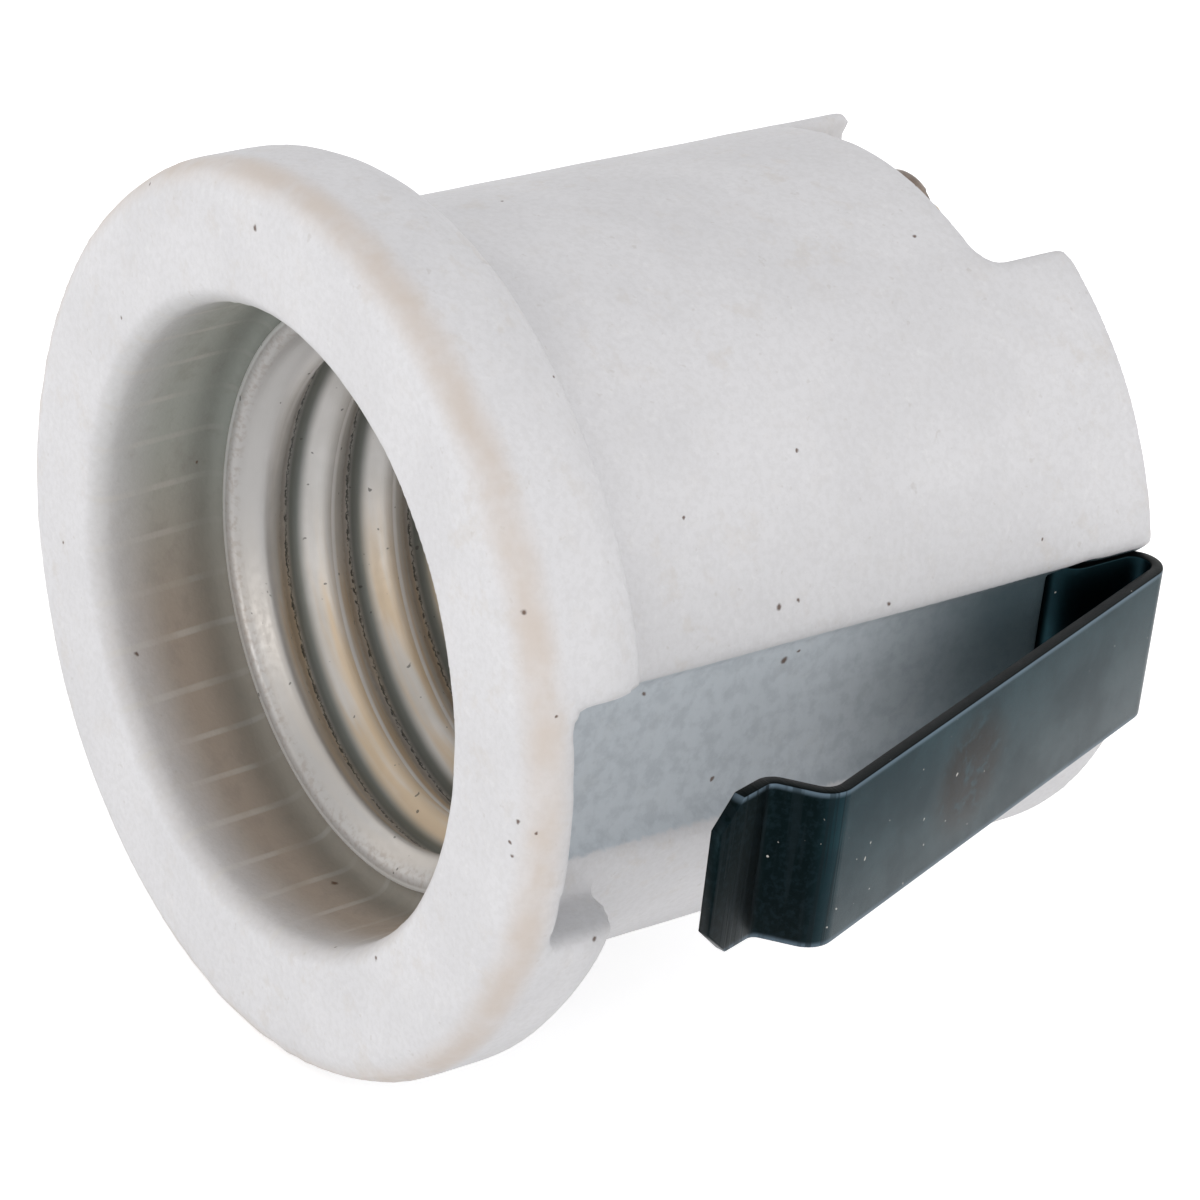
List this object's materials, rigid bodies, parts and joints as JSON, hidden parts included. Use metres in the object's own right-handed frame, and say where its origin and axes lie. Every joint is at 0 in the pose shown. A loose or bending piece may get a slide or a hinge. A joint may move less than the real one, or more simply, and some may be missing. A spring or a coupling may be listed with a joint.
{
  "type": "snap-in lamp holder",
  "caption": "Round porcelain lamp holder with a flange, a rolled metal screw shell, a sprung centre contact, screw terminals in a rear wire gap and folded spring clips for a sheet panel.",
  "frame": {"origin": "on the lamp axis in the plane of the flange's rear face, at the centre of the panel's hole", "axes": "+Y along the lamp axis from the mouth to the terminals, +X towards one spring clip, +Z towards the upper terminal"},
  "size_m": [0.0574, 0.0388, 0.044],
  "materials": {
    "porcelain": "unglazed fired porcelain, matt pale grey-white",
    "plated_shell": "thin nickel-plated brass sheet, drawn and rolled, satin",
    "contact_brass": "drawn brass, satin",
    "spring_steel": "bright drawn wire",
    "terminal_brass": "stamped brass, slightly tarnished",
    "browned_steel": "browned steel screw, worn bright at the edges",
    "washer_steel": "zinc-plated steel, dull",
    "rivet_brass": "nickel-plated brass, worn",
    "blued_clip_steel": "blued spring steel, oily, light specks of rust"
  },
  "bodies": {
    "holder": {"porcelain_body": "porcelain", "screw_shell": "plated_shell", "contact_spring": "spring_steel", "neutral_terminal_plate": "terminal_brass", "line_terminal_strap": "terminal_brass", "shell_rivets": "rivet_brass", "line_strap_rivets": "rivet_brass"},
    "contact": {"centre_contact": "contact_brass"},
    "right_clip": {"right_spring_clip": "blued_clip_steel"},
    "left_clip": {"left_spring_clip": "blued_clip_steel"},
    "neutral_washer": {"neutral_clamp_washer": "washer_steel"},
    "neutral_screw": {"neutral_terminal_screw": "browned_steel"},
    "line_washer": {"line_clamp_washer": "washer_steel"},
    "line_screw": {"line_terminal_screw": "browned_steel"}
  },
  "joints": [
    {"name": "right_clip_flex", "type": "hinge", "parent": "holder", "child": "right_clip", "pos_m": [0.0169, 0.0279, 0], "axis": [0, 0, -1], "range_deg": [0, 18], "stiffness_Nm_per_rad": 2.7},
    {"name": "left_clip_flex", "type": "hinge", "parent": "holder", "child": "left_clip", "pos_m": [-0.0169, 0.0279, 0], "axis": [0, 0, 1], "range_deg": [0, 18], "stiffness_Nm_per_rad": 2.7},
    {"name": "contact_travel", "type": "slide", "parent": "holder", "child": "contact", "axis": [0, 1, 0], "range_m": [0, 0.0025], "stiffness_N_per_m": 600, "deforming": ["contact_spring"]},
    {"name": "neutral_screw_travel", "type": "slide", "parent": "holder", "child": "neutral_washer", "axis": [0, 1, 0], "range_m": [0, 0.0014]},
    {"name": "neutral_screw_turn", "type": "hinge", "parent": "neutral_washer", "child": "neutral_screw", "pos_m": [0, 0.0278, 0.0142], "axis": [0, 1, 0], "range_deg": [0, 720]},
    {"name": "line_screw_travel", "type": "slide", "parent": "holder", "child": "line_washer", "axis": [0, 1, 0], "range_m": [0, 0.0014]},
    {"name": "line_screw_turn", "type": "hinge", "parent": "line_washer", "child": "line_screw", "pos_m": [0, 0.0278, -0.0142], "axis": [0, 1, 0], "range_deg": [0, 720]}
  ],
  "couplings": [
    {"joint": "neutral_screw_turn", "follows": "neutral_screw_travel", "rad_per_m": 8976},
    {"joint": "line_screw_turn", "follows": "line_screw_travel", "rad_per_m": 8976}
  ]
}
